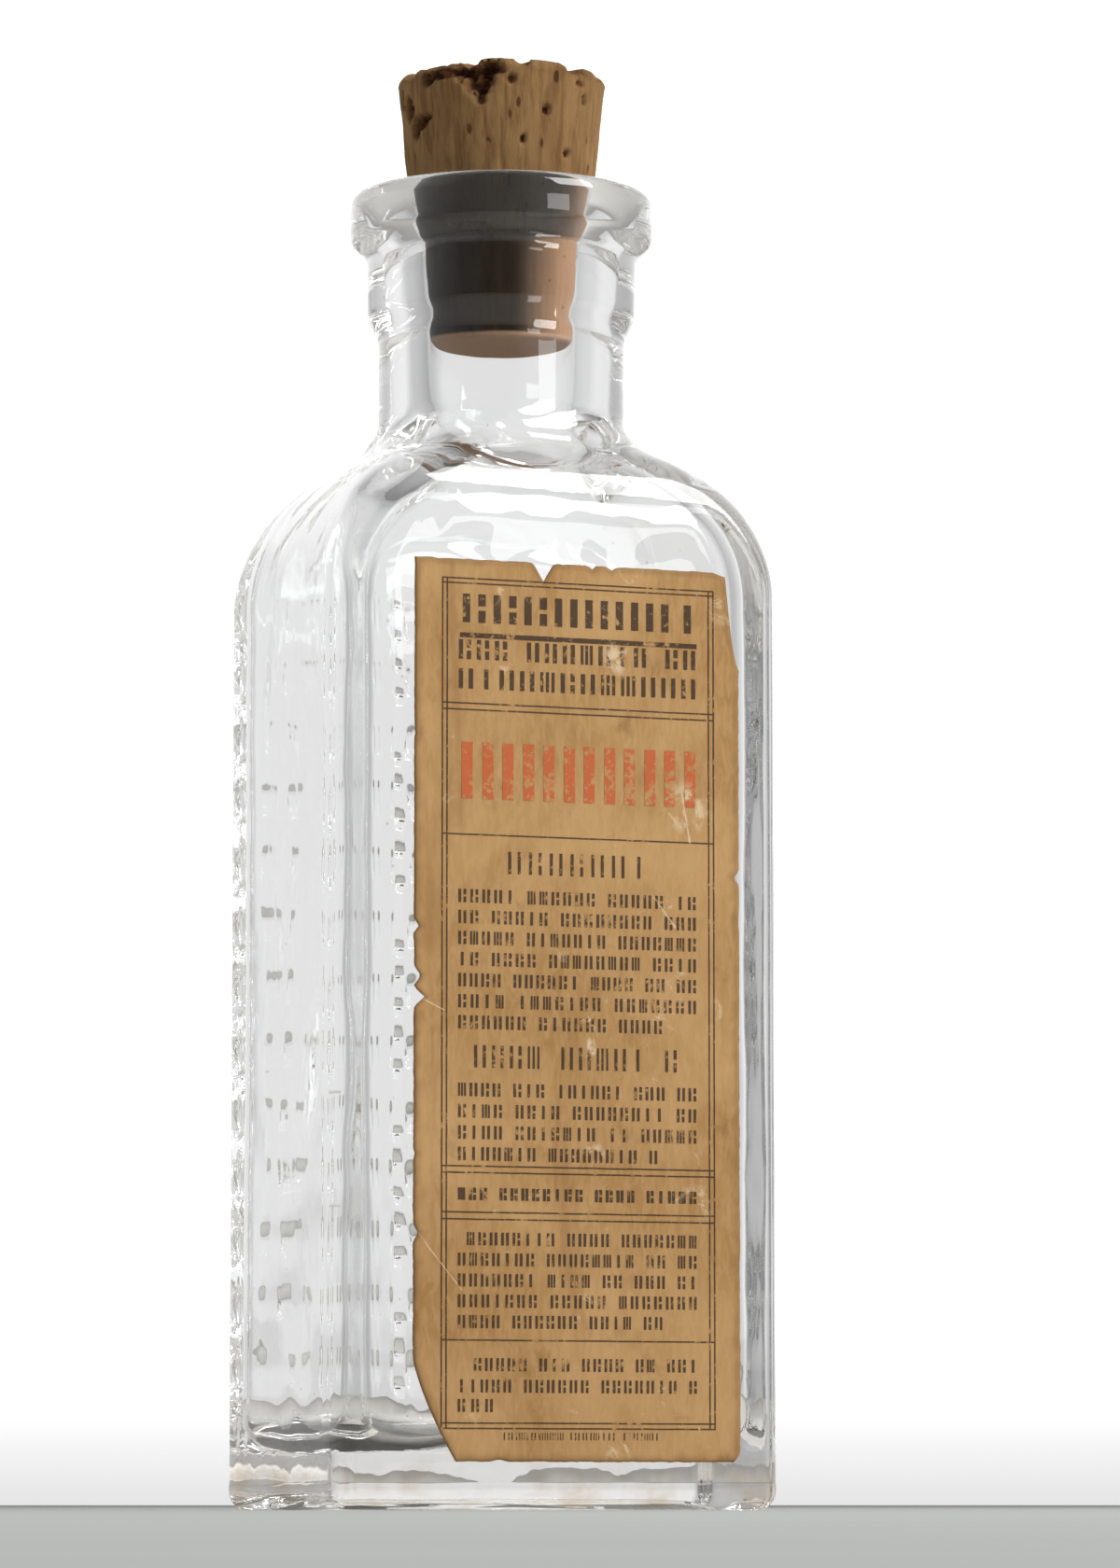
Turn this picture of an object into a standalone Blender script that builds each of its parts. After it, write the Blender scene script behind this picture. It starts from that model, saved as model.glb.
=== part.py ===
# Corked rectangular medicine bottle: blown clear glass, a tapered cork and a pasted paper label.
# Frame: origin at the middle of the base, +Z up the neck's axis, the label on the -Y face.

import bmesh
import bpy
from math import atan2, cos, pi, radians, sin, sqrt
from mathutils import Matrix

MM = 0.001

# Body of the bottle
BODY_WIDTH = 45.0 * MM
BODY_DEPTH = 32.8 * MM
BODY_CORNER_RADIUS = 2.3 * MM
WALL = 2.2 * MM
INNER_CORNER_RADIUS = 4.0 * MM

# Base
BASE_EDGE_RADIUS = 1.8 * MM
PUSH_UP_RADIUS = 11.0 * MM
PUSH_UP_DEPTH = 1.8 * MM
FLOOR_HEIGHT = 5.6 * MM
FLOOR_EDGE_RADIUS = 3.4 * MM

# Shoulder: where the narrow sides and the broad faces start to lean in, and where the neck starts
SIDE_LEAN_HEIGHT = 87.0 * MM
FACE_LEAN_HEIGHT = 95.0 * MM
SHOULDER_TOP = 104.8 * MM
SIDE_ARC_RADIUS = 16.0 * MM
SIDE_SLOPE = radians(60.0)
FACE_ARC_RADIUS = 8.0 * MM
FACE_SLOPE = radians(42.0)
INNER_SIDE_LEAN_HEIGHT = 87.0 * MM
INNER_FACE_LEAN_HEIGHT = 93.5 * MM
INNER_SHOULDER_TOP = 106.5 * MM
INNER_SIDE_ARC_RADIUS = 13.0 * MM
INNER_SIDE_SLOPE = radians(63.0)
INNER_FACE_ARC_RADIUS = 7.0 * MM
INNER_FACE_SLOPE = radians(50.0)

# Neck and tooled lip
NECK_RADIUS = 12.0 * MM
NECK_TOP = 113.3 * MM
COLLAR_RADIUS = 13.1 * MM
COLLAR_BOTTOM = 115.3 * MM
COLLAR_TOP = 121.4 * MM
LIP_RADIUS = 14.8 * MM
LIP_BOTTOM = 122.9 * MM
LIP_EDGE_RADIUS = 1.1 * MM
MOUTH_EDGE_RADIUS = 0.5 * MM
GLASS_HEIGHT = 127.7 * MM
BORE_RADIUS = 7.05 * MM

# Cork: squeezed below the waist, flared through the mouth, and free above the glass
CORK_BOTTOM = 112.4 * MM
CORK_WAIST = 123.0 * MM
CORK_TOP = 139.5 * MM
CORK_BOTTOM_RADIUS = 6.85 * MM
CORK_WAIST_RADIUS = 7.35 * MM
CORK_MOUTH_RADIUS = 9.05 * MM
CORK_TOP_RADIUS = 10.15 * MM
CORK_WEAR_RADIUS = 1.2 * MM
CORK_FOOT_RADIUS = 0.3 * MM
CORK_GAP = 0.3 * MM

# Paper label on the front face
LABEL_LEFT = -15.1 * MM
LABEL_RIGHT = 18.05 * MM
LABEL_BOTTOM = 4.4 * MM
LABEL_TOP = 89.3 * MM
LABEL_THICKNESS = 0.15 * MM
LABEL_GAP = 0.1 * MM

# Raised tactile marks on the back face
MARK_COLUMNS = (3.7 * MM, 7.7 * MM, 14.1 * MM, 16.9 * MM)
MARK_ROWS = 14
MARK_FIRST_HEIGHT = 7.6 * MM
MARK_PITCH = 6.16 * MM
MARK_WIDTH = 1.5 * MM
MARK_LENGTH = 3.7 * MM
MARK_RISE = 0.45 * MM
MARK_SUNK = 0.2 * MM
MARK_DRAFT = 0.22
BAR_COLUMN = 5.7 * MM
BAR_WIDTH = 1.7 * MM
BAR_LENGTH = 0.6 * MM
BAR_PITCH = 3.08 * MM
BAR_COUNT = 24
BAR_FIRST_HEIGHT = 12.2 * MM
BAR_GROUP = 6

# Points along one quarter of a cross-section: half a narrow side, a corner, half a broad face
SIDE_STEPS = 2
CORNER_STEPS = 5
FACE_STEPS = 3
QUARTER_STEPS = SIDE_STEPS + CORNER_STEPS + FACE_STEPS
ROUND_STEPS = 4 * QUARTER_STEPS
SHOULDER_STEPS = 12
EDGE_STEPS = 3


def clear_scene():
    for item in list(bpy.data.objects):
        bpy.data.objects.remove(item, do_unlink=True)


def make_material(name, colour, roughness, metallic=0.0, transmission=0.0):
    material = bpy.data.materials.new(name)
    material.use_nodes = True
    shader = material.node_tree.nodes["Principled BSDF"]
    shader.inputs["Base Color"].default_value = (*colour, 1.0)
    shader.inputs["Roughness"].default_value = roughness
    shader.inputs["Metallic"].default_value = metallic
    shader.inputs["Transmission Weight"].default_value = transmission
    return material


def make_object(name, bm, material=None):
    mesh = bpy.data.meshes.new(name)
    bm.to_mesh(mesh)
    bm.free()
    item = bpy.data.objects.new(name, mesh)
    bpy.context.scene.collection.objects.link(item)
    if material:
        mesh.materials.append(material)
    return item


def smooth(item, angle=35.0):
    item.data.shade_smooth()
    item.data.set_sharp_from_angle(angle=radians(angle))


def cut_or_join(item, tool, operation):
    tool.hide_render = True
    tool.display_type = "WIRE"
    modifier = item.modifiers.new(tool.name, "BOOLEAN")
    modifier.object = tool
    modifier.operation = operation
    modifier.solver = "EXACT"


# Cross-sections

def quarter_azimuths(half_x, half_y, radius):
    """Directions of the points of a rounded rectangle's first quarter, from +X round to +Y."""
    points = []
    for step in range(SIDE_STEPS):
        points.append((half_x, (half_y - radius) * step / SIDE_STEPS))
    for step in range(CORNER_STEPS):
        turn = 0.5 * pi * step / CORNER_STEPS
        points.append((half_x - radius + radius * cos(turn), half_y - radius + radius * sin(turn)))
    for step in range(FACE_STEPS + 1):
        points.append(((half_x - radius) * (1.0 - step / FACE_STEPS), half_y))
    return [atan2(y, x) for x, y in points]


def reach(half_x, half_y, radius, azimuth):
    """Distance from the axis to a rounded rectangle's outline in one direction."""
    across = abs(cos(azimuth))
    along = abs(sin(azimuth))
    if along * half_x <= (half_y - radius) * across:
        return half_x / across
    if across * half_y <= (half_x - radius) * along:
        return half_y / along
    middle = across * (half_x - radius) + along * (half_y - radius)
    centre_squared = (half_x - radius) ** 2 + (half_y - radius) ** 2
    return middle + sqrt(middle * middle - centre_squared + radius * radius)


def section(half_x, half_y, radius, evenness):
    """Outline points; evenness 0 packs them into the corners, 1 spaces them round a circle."""
    packed = quarter_azimuths(half_x, half_y, radius)
    quarter = []
    for step, azimuth in enumerate(packed):
        even = 0.5 * pi * step / QUARTER_STEPS
        quarter.append(azimuth * (1.0 - evenness) + even * evenness)
    turned_back = quarter[:0:-1]
    azimuths = quarter[:-1]
    azimuths += [pi - azimuth for azimuth in turned_back]
    azimuths += [pi + azimuth for azimuth in quarter[:-1]]
    azimuths += [2.0 * pi - azimuth for azimuth in turned_back]
    outline = []
    for azimuth in azimuths:
        distance = reach(half_x, half_y, radius, azimuth)
        outline.append((distance * cos(azimuth), distance * sin(azimuth)))
    return outline


def station(height, half_x, half_y, radius, evenness=0.0):
    return height, section(half_x, half_y, radius, evenness)


def circle(height, radius):
    return station(height, radius, radius, radius, 1.0)


def pull_ring(bm, ring, outline, height):
    """Extrude a ring of edges and place its new points on the next outline."""
    edges = [bm.edges.get((ring[index - 1], ring[index])) for index in range(len(ring))]
    pulled = bmesh.ops.extrude_edge_only(bm, edges=edges)
    fresh = {item for item in pulled["geom"] if isinstance(item, bmesh.types.BMVert)}
    new_ring = []
    for vert, (x, y) in zip(ring, outline):
        neighbours = [edge.other_vert(vert) for edge in vert.link_edges]
        partner = next(item for item in neighbours if item in fresh)
        partner.co = (x, y, height)
        new_ring.append(partner)
    return new_ring


def loft(stations):
    """A closed skin through a run of cross-sections, with a flat face at each end."""
    bm = bmesh.new()
    height, outline = stations[0]
    first = [bm.verts.new((x, y, height)) for x, y in outline]
    for index in range(len(first)):
        bm.edges.new((first[index - 1], first[index]))
    ring = first
    for height, outline in stations[1:]:
        ring = pull_ring(bm, ring, outline, height)
    bm.faces.new(first)
    bm.faces.new(ring)
    bmesh.ops.recalc_face_normals(bm, faces=bm.faces)
    return bm


# Bottle

def lean_in(height, low_half, high_half, low, high, arc, slope):
    """Half-size of a wall that curves in by an arc, a straight run and a fillet."""
    rise = sin(slope)
    run = cos(slope)
    fillet = ((high - low) * rise - run * (low_half - high_half)) / (1.0 - run) - arc
    arc_top = low + arc * rise
    fillet_bottom = high - fillet * rise
    if height <= low:
        return low_half
    if height <= arc_top:
        return low_half - arc + sqrt(arc * arc - (height - low) ** 2)
    if height < fillet_bottom:
        return low_half - arc * (1.0 - run) - (height - arc_top) * rise / run
    if height < high:
        return high_half + fillet - sqrt(fillet * fillet - (high - height) ** 2)
    return high_half


def shoulder_station(height, width, depth, corner, neck, sides, faces, top):
    """One section of a shoulder; sides and faces are (lean height, arc radius, slope)."""
    half_x = lean_in(height, width / 2, neck, sides[0], top, sides[1], sides[2])
    half_y = lean_in(height, depth / 2, neck, faces[0], top, faces[1], faces[2])
    part_way = min(max((height - sides[0]) / (top - sides[0]), 0.0), 1.0)
    radius = corner + (neck - corner) * part_way ** 2
    radius = min(radius, half_x, half_y)
    return station(height, half_x, half_y, radius, part_way ** 2)


def outer_shoulder():
    stations = []
    sides = (SIDE_LEAN_HEIGHT, SIDE_ARC_RADIUS, SIDE_SLOPE)
    faces = (FACE_LEAN_HEIGHT, FACE_ARC_RADIUS, FACE_SLOPE)
    for step in range(SHOULDER_STEPS + 1):
        height = SIDE_LEAN_HEIGHT + (SHOULDER_TOP - SIDE_LEAN_HEIGHT) * step / SHOULDER_STEPS
        stations.append(shoulder_station(height, BODY_WIDTH, BODY_DEPTH, BODY_CORNER_RADIUS,
                                         NECK_RADIUS, sides, faces, SHOULDER_TOP))
    return stations


def inner_shoulder():
    stations = []
    sides = (INNER_SIDE_LEAN_HEIGHT, INNER_SIDE_ARC_RADIUS, INNER_SIDE_SLOPE)
    faces = (INNER_FACE_LEAN_HEIGHT, INNER_FACE_ARC_RADIUS, INNER_FACE_SLOPE)
    for step in range(SHOULDER_STEPS + 1):
        drop = (INNER_SHOULDER_TOP - INNER_SIDE_LEAN_HEIGHT) * step / SHOULDER_STEPS
        stations.append(shoulder_station(INNER_SHOULDER_TOP - drop, BODY_WIDTH - 2 * WALL,
                                         BODY_DEPTH - 2 * WALL, INNER_CORNER_RADIUS,
                                         BORE_RADIUS, sides, faces, INNER_SHOULDER_TOP))
    return stations


def base_edge():
    """The rounded lower edge, from the flat of the base up to the foot of the walls."""
    stations = []
    for step in range(EDGE_STEPS + 1):
        turn = 0.5 * pi * step / EDGE_STEPS
        inset = BASE_EDGE_RADIUS * (1.0 - sin(turn))
        height = BASE_EDGE_RADIUS * (1.0 - cos(turn))
        corner = BODY_CORNER_RADIUS - inset
        stations.append(station(height, BODY_WIDTH / 2 - inset, BODY_DEPTH / 2 - inset, corner))
    return stations


def make_push_up():
    """The shallow round hollow under the base, which leaves a flat rim to stand on."""
    bm = bmesh.new()
    size = Matrix.Diagonal((PUSH_UP_RADIUS, PUSH_UP_RADIUS, PUSH_UP_DEPTH, 1.0))
    bmesh.ops.create_uvsphere(bm, u_segments=ROUND_STEPS, v_segments=10, radius=1.0, matrix=size)
    return make_object("push_up_tool", bm)


def neck_and_lip():
    """The neck, the collar and the lip, from the shoulder up to the top edge."""
    stations = [
        circle(NECK_TOP, NECK_RADIUS),
        circle(COLLAR_BOTTOM, COLLAR_RADIUS),
        circle(COLLAR_TOP, COLLAR_RADIUS),
        circle(LIP_BOTTOM, LIP_RADIUS),
    ]
    for step in range(EDGE_STEPS + 1):
        turn = 0.5 * pi * step / EDGE_STEPS
        height = GLASS_HEIGHT - LIP_EDGE_RADIUS * (1.0 - sin(turn))
        stations.append(circle(height, LIP_RADIUS - LIP_EDGE_RADIUS * (1.0 - cos(turn))))
    return stations


def taper(height, low, low_radius, high, high_radius):
    return low_radius + (high_radius - low_radius) * (height - low) / (high - low)


def cork_radius(height):
    if height <= CORK_WAIST:
        return taper(height, CORK_BOTTOM, CORK_BOTTOM_RADIUS, CORK_WAIST, CORK_WAIST_RADIUS)
    if height <= GLASS_HEIGHT:
        return taper(height, CORK_WAIST, CORK_WAIST_RADIUS, GLASS_HEIGHT, CORK_MOUTH_RADIUS)
    return taper(height, GLASS_HEIGHT, CORK_MOUTH_RADIUS, CORK_TOP, CORK_TOP_RADIUS)


def bore():
    """From the mouth down the tapered bore, which the cork fills to its foot."""
    mouth = cork_radius(GLASS_HEIGHT) + CORK_GAP
    below_mouth = GLASS_HEIGHT - MOUTH_EDGE_RADIUS
    return [
        circle(GLASS_HEIGHT, mouth + MOUTH_EDGE_RADIUS),
        circle(below_mouth, cork_radius(below_mouth) + CORK_GAP),
        circle(CORK_WAIST, CORK_WAIST_RADIUS + CORK_GAP),
        circle(CORK_BOTTOM, CORK_BOTTOM_RADIUS + CORK_GAP),
    ]


def floor_edge():
    """The inside of the bottle's foot, from the walls down to the flat of the floor."""
    stations = []
    for step in range(EDGE_STEPS + 1):
        turn = 0.5 * pi * step / EDGE_STEPS
        inset = WALL + FLOOR_EDGE_RADIUS * (1.0 - cos(turn))
        height = FLOOR_HEIGHT + FLOOR_EDGE_RADIUS * (1.0 - sin(turn))
        corner = INNER_CORNER_RADIUS + 0.25 * FLOOR_EDGE_RADIUS * (1.0 - cos(turn))
        stations.append(station(height, BODY_WIDTH / 2 - inset, BODY_DEPTH / 2 - inset, corner))
    return stations


def add_tapered_block(bm, middle, width, length):
    """A block standing on the back face, smaller at its outer end."""
    depth = MARK_RISE + MARK_SUNK
    centre_y = BODY_DEPTH / 2 + MARK_RISE - depth / 2
    place = Matrix.Translation((middle[0], centre_y, middle[1]))
    block = bmesh.ops.create_cube(bm, size=1.0, matrix=place @ Matrix.Diagonal((width, depth, length, 1.0)))
    outer = [vert for vert in block["verts"] if vert.co.y > centre_y]
    draft = 2.0 * MARK_DRAFT * min(width, length)
    narrower = ((width - draft) / width, 1.0, (length - draft) / length)
    bmesh.ops.scale(bm, vec=narrower, verts=outer, space=place.inverted())


def make_raised_marks():
    """The columns of raised ovals and the short bars between the inner pairs."""
    bm = bmesh.new()
    for side in (-1.0, 1.0):
        for column in MARK_COLUMNS:
            for row in range(MARK_ROWS):
                height = MARK_FIRST_HEIGHT + MARK_PITCH * row
                add_tapered_block(bm, (side * column, height), MARK_WIDTH, MARK_LENGTH)
        for index in range(BAR_COUNT):
            if index % BAR_GROUP == BAR_GROUP - 1:
                continue
            height = BAR_FIRST_HEIGHT + BAR_PITCH * index
            add_tapered_block(bm, (side * BAR_COLUMN, height), BAR_WIDTH, BAR_LENGTH)
    return make_object("raised_marks_tool", bm)


def make_bottle():
    outside = base_edge() + outer_shoulder() + neck_and_lip()
    inside = bore() + inner_shoulder() + floor_edge()
    glass = make_material("clear_glass", (0.93, 0.95, 0.95), 0.03, transmission=1.0)
    bottle = make_object("bottle_glass", loft(outside + inside), glass)
    cut_or_join(bottle, make_push_up(), "DIFFERENCE")
    cut_or_join(bottle, make_raised_marks(), "UNION")
    smooth(bottle)
    return bottle


# Cork

def make_chips():
    """Lumps that bite the crumbled edge out of the cork's top: (azimuth, size, how far in)."""
    bites = ((215.0, 3.4 * MM, 1.6 * MM), (238.0, 2.6 * MM, 1.1 * MM), (196.0, 2.2 * MM, 0.8 * MM),
             (62.0, 2.0 * MM, 0.6 * MM))
    bm = bmesh.new()
    for azimuth, size, depth in bites:
        out = CORK_TOP_RADIUS + size - depth
        height = CORK_TOP + size * 0.45
        middle = (out * cos(radians(azimuth)), out * sin(radians(azimuth)), height)
        place = Matrix.Translation(middle) @ Matrix.Diagonal((1.0, 1.0, 0.8, 1.0))
        bmesh.ops.create_icosphere(bm, subdivisions=2, radius=size * 1.2, matrix=place)
    return make_object("cork_chips_tool", bm)


def make_cork():
    foot = []
    head = []
    for step in range(EDGE_STEPS + 1):
        turn = 0.5 * pi * step / EDGE_STEPS
        height = CORK_BOTTOM + CORK_FOOT_RADIUS * (1.0 - sin(turn))
        foot.insert(0, circle(height, cork_radius(height) - CORK_FOOT_RADIUS * (1.0 - cos(turn))))
        height = CORK_TOP - CORK_WEAR_RADIUS * (1.0 - sin(turn))
        head.append(circle(height, cork_radius(height) - CORK_WEAR_RADIUS * (1.0 - cos(turn))))
    middle = [circle(CORK_WAIST, CORK_WAIST_RADIUS), circle(GLASS_HEIGHT, CORK_MOUTH_RADIUS)]
    material = make_material("cork", (0.46, 0.29, 0.16), 0.85)
    cork = make_object("cork_stopper", loft(foot + middle + head), material)
    cut_or_join(cork, make_chips(), "DIFFERENCE")
    smooth(cork)
    return cork


# Label

def from_edges(left, right, low, high):
    """A point given by its distance from one side edge and from one end edge of the label."""
    x = LABEL_LEFT + left * MM if left is not None else LABEL_RIGHT - right * MM
    z = LABEL_BOTTOM + low * MM if low is not None else LABEL_TOP - high * MM
    return x, z


def label_outline():
    """The torn paper's corners, counter-clockwise from the bottom left."""
    foot = [(4.8, None, 0.0, None), (None, 1.1, 0.0, None), (None, 0.0, 0.9, None)]
    torn_head_corner = [(None, 0.0, None, 9.0), (None, 0.7, None, 7.6), (None, 1.4, None, 2.3),
                        (None, 2.3, None, 0.0)]
    head_notch = [(14.8, None, None, 0.0), (13.6, None, None, 1.9), (12.4, None, None, 0.0)]
    head_left = [(0.5, None, None, 0.0), (0.0, None, None, 0.5)]
    side_tear = [(0.0, None, 46.2, None), (0.5, None, 45.2, None), (0.0, None, 44.2, None),
                 (1.1, None, 43.3, None), (0.1, None, 42.0, None)]
    lower_tear = [(0.1, None, 21.8, None), (0.6, None, 21.4, None), (0.1, None, 20.8, None)]
    torn_foot_corner = [(0.1, None, 10.3, None), (1.6, None, 5.2, None), (2.6, None, 3.1, None),
                        (3.4, None, 0.8, None)]
    corners = foot + torn_head_corner + head_notch + head_left
    corners += side_tear + lower_tear + torn_foot_corner
    return [from_edges(*corner) for corner in corners]


def make_label():
    bm = bmesh.new()
    back = -(BODY_DEPTH / 2 + LABEL_GAP)
    verts = [bm.verts.new((x, back, z)) for x, z in label_outline()]
    sheet = bm.faces.new(verts)
    pulled = bmesh.ops.extrude_face_region(bm, geom=[sheet])
    front = [item for item in pulled["geom"] if isinstance(item, bmesh.types.BMVert)]
    bmesh.ops.translate(bm, vec=(0.0, -LABEL_THICKNESS, 0.0), verts=front)
    bmesh.ops.recalc_face_normals(bm, faces=bm.faces)
    material = make_material("label_paper", (0.50, 0.31, 0.14), 0.8)
    return make_object("paper_label", bm, material)


clear_scene()
make_bottle()
make_cork()
make_label()
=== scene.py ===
import bpy, bmesh, random
from math import atan2, cos, pi, radians, sin, sqrt
from mathutils import Matrix, Vector, noise


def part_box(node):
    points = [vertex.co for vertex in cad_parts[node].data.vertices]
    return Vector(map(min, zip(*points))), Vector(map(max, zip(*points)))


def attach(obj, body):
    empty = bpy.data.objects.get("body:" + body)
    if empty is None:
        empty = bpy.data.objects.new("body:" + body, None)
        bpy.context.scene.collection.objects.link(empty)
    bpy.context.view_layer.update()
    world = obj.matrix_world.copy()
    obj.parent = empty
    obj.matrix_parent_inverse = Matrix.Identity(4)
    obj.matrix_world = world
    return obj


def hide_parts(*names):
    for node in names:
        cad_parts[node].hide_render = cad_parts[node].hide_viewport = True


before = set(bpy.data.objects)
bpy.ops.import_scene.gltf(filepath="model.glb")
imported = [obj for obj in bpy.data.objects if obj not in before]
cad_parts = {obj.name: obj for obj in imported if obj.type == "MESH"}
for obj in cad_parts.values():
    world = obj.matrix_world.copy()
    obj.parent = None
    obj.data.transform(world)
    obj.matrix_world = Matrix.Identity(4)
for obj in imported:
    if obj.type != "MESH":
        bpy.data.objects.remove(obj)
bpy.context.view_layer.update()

mm = 0.001
glassLow, glassHigh = [Vector(corner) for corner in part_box("bottle_glass")]
corkLow, corkHigh = [Vector(corner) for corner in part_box("cork_stopper")]
labelLow, labelHigh = [Vector(corner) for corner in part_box("paper_label")]


# small helpers

def ease(value):
    value = min(max(value, 0.0), 1.0)
    return value * value * (3.0 - 2.0 * value)


def ramp(value, start, end):
    return ease((value - start) / (end - start))


# smooth noise from -1 to 1 that changes over about one size
def wave(place, size, seed):
    return noise.noise(Vector(place) / size + Vector((seed * 7.3, seed * 3.1, seed * 5.7)))


def finish(name, bm, material, body, *nodes):
    mesh = bpy.data.meshes.new(name)
    bm.to_mesh(mesh)
    bm.free()
    mesh.shade_smooth()
    mesh.materials.append(material)
    piece = bpy.data.objects.new(name, mesh)
    bpy.context.scene.collection.objects.link(piece)
    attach(piece, body)
    if nodes:
        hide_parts(*nodes)
    print(name, len(mesh.polygons), "faces")
    return piece


# extrudes a ring of edges and sets its new points on the next outline
def pullRing(bm, ring, outline, height):
    edges = [bm.edges.get((ring[i - 1], ring[i])) for i in range(len(ring))]
    pulled = bmesh.ops.extrude_edge_only(bm, edges=edges)
    fresh = {item for item in pulled["geom"] if isinstance(item, bmesh.types.BMVert)}
    nextRing = []
    for vert, (x, y) in zip(ring, outline):
        partner = next(e.other_vert(vert) for e in vert.link_edges if e.other_vert(vert) in fresh)
        partner.co = (x, y, height)
        nextRing.append(partner)
    return nextRing


# a closed shell through a list of (height, outline)
def loft(stations):
    bm = bmesh.new()
    height, outline = stations[0]
    circle = bmesh.ops.create_circle(bm, cap_ends=False, segments=len(outline), radius=1.0)
    first = circle["verts"]
    for vert, (x, y) in zip(first, outline):
        vert.co = (x, y, height)
    ring = first
    for height, outline in stations[1:]:
        ring = pullRing(bm, ring, outline, height)
    bm.faces.new(first)
    bm.faces.new(ring)
    bmesh.ops.recalc_face_normals(bm, faces=bm.faces)
    return bm


# a turned profile from (radius, height, rounding) corners
def rounded(corners, steps=5):
    points = []
    for i, (radius, height, rounding) in enumerate(corners):
        here = Vector((radius, height))
        if rounding == 0.0 or i in (0, len(corners) - 1):
            points.append(here)
            continue
        before = (Vector(corners[i - 1][:2]) - here).normalized()
        after = (Vector(corners[i + 1][:2]) - here).normalized()
        for step in range(steps + 1):
            part = step / steps
            start = here + before * rounding
            end = here + after * rounding
            points.append(start * (1 - part) ** 2 + here * 2 * part * (1 - part) + end * part * part)
    return [(point[0], point[1]) for point in points]


# node helpers

def socket(group, name, kind, way, value=None):
    item = group.interface.new_socket(name=name, in_out=way, socket_type=kind)
    if value is not None:
        item.default_value = value


def node(tree, kind, **settings):
    made = tree.nodes.new("ShaderNode" + kind)
    for key, value in settings.items():
        setattr(made, key, value)
    return made


def link(tree, source, target):
    tree.links.new(source, target)


def calc(tree, operation, first, second):
    made = node(tree, "Math", operation=operation)
    for slot, value in zip(made.inputs, (first, second)):
        if isinstance(value, (int, float)):
            slot.default_value = value
        else:
            link(tree, value, slot)
    return made.outputs[0]


# colours sit on a Mix node's inputs 6 and 7 and its output 2
def blend(tree, factor, first, second):
    made = node(tree, "Mix", data_type="RGBA")
    for slot, value in zip((made.inputs[0], made.inputs[6], made.inputs[7]), (factor, first, second)):
        if isinstance(value, (int, float)):
            slot.default_value = value
        elif isinstance(value, tuple):
            slot.default_value = (*value, 1.0)
        else:
            link(tree, value, slot)
    return made.outputs[2]


def remap(tree, value, low, high, toLow=0.0, toHigh=1.0):
    made = node(tree, "MapRange", interpolation_type="SMOOTHSTEP")
    link(tree, value, made.inputs[0])
    for slot, number in zip(made.inputs[1:5], (low, high, toLow, toHigh)):
        slot.default_value = number
    return made.outputs[0]


def placed(tree, scale=(1.0, 1.0, 1.0)):
    coordinates = node(tree, "TexCoord")
    mapping = node(tree, "Mapping")
    mapping.inputs["Scale"].default_value = scale
    link(tree, coordinates.outputs["Object"], mapping.inputs["Vector"])
    return mapping.outputs[0]


def cloud(tree, vector, scale, detail=3.0, roughness=0.55, distortion=0.0):
    made = node(tree, "TexNoise")
    link(tree, vector, made.inputs["Vector"])
    made.inputs["Scale"].default_value = scale
    made.inputs["Detail"].default_value = detail
    made.inputs["Roughness"].default_value = roughness
    made.inputs["Distortion"].default_value = distortion
    return made.outputs[0]


def newMaterial(name):
    material = bpy.data.materials.new(name)
    material.use_nodes = True
    tree = material.node_tree
    return material, tree, tree.nodes["Principled BSDF"]


# camera, light and floor

view = {"azimuth": -21.0, "distance": 634 * mm, "height": 0.5 * mm, "tilt": 6.25, "pan": 0.52,
        "lens": 151.1, "sensor": 36.0, "near": 0.01}


def makeCamera():
    data = bpy.data.cameras.new("camera")
    data.lens = view["lens"]
    data.sensor_width = view["sensor"]
    data.sensor_fit = "AUTO"
    data.clip_start = view["near"]
    camera = bpy.data.objects.new("camera", data)
    bpy.context.scene.collection.objects.link(camera)
    around = radians(view["azimuth"])
    camera.location = (sin(around) * view["distance"], -cos(around) * view["distance"], view["height"])
    camera.rotation_euler = (radians(90 + view["tilt"]), 0.0, around - radians(view["pan"]))
    bpy.context.scene.camera = camera


# brightness round the room by turn: 0 and 1 are the backdrop, 0.5 is behind the camera
room = {
    "back": 1.25, "overhead": 0.75, "low": 0.52, "lowBehind": 0.85, "seen": 1.1,
    "horizon": (-0.01, 0.04), "ceiling": (0.35, 0.9), "bounces": 24,
    "through": ((0.0, 0.70), (0.05, 0.70), (0.12, 0.42), (0.24, 0.25), (0.40, 0.20), (0.46, 0.08),
                (0.54, 0.08), (0.60, 0.36), (0.75, 0.40), (0.87, 0.56), (0.95, 0.70), (1.0, 0.70)),
    "mirror": ((0.0, 1.0), (0.06, 1.0), (0.14, 0.5), (0.25, 0.75), (0.34, 0.35), (0.42, 0.06),
               (0.53, 0.06), (0.60, 0.30), (0.66, 0.42), (0.80, 0.35), (0.94, 1.0), (1.0, 1.0)),
}


def levels(tree, turn, stops):
    made = node(tree, "ValToRGB")
    made.color_ramp.interpolation = "EASE"
    while len(made.color_ramp.elements) < len(stops):
        made.color_ramp.elements.new(0.5)
    for element, (position, value) in zip(made.color_ramp.elements, stops):
        element.position = position
        element.color = (value, value, value, 1.0)
    link(tree, turn, made.inputs[0])
    return made.outputs[0]


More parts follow.
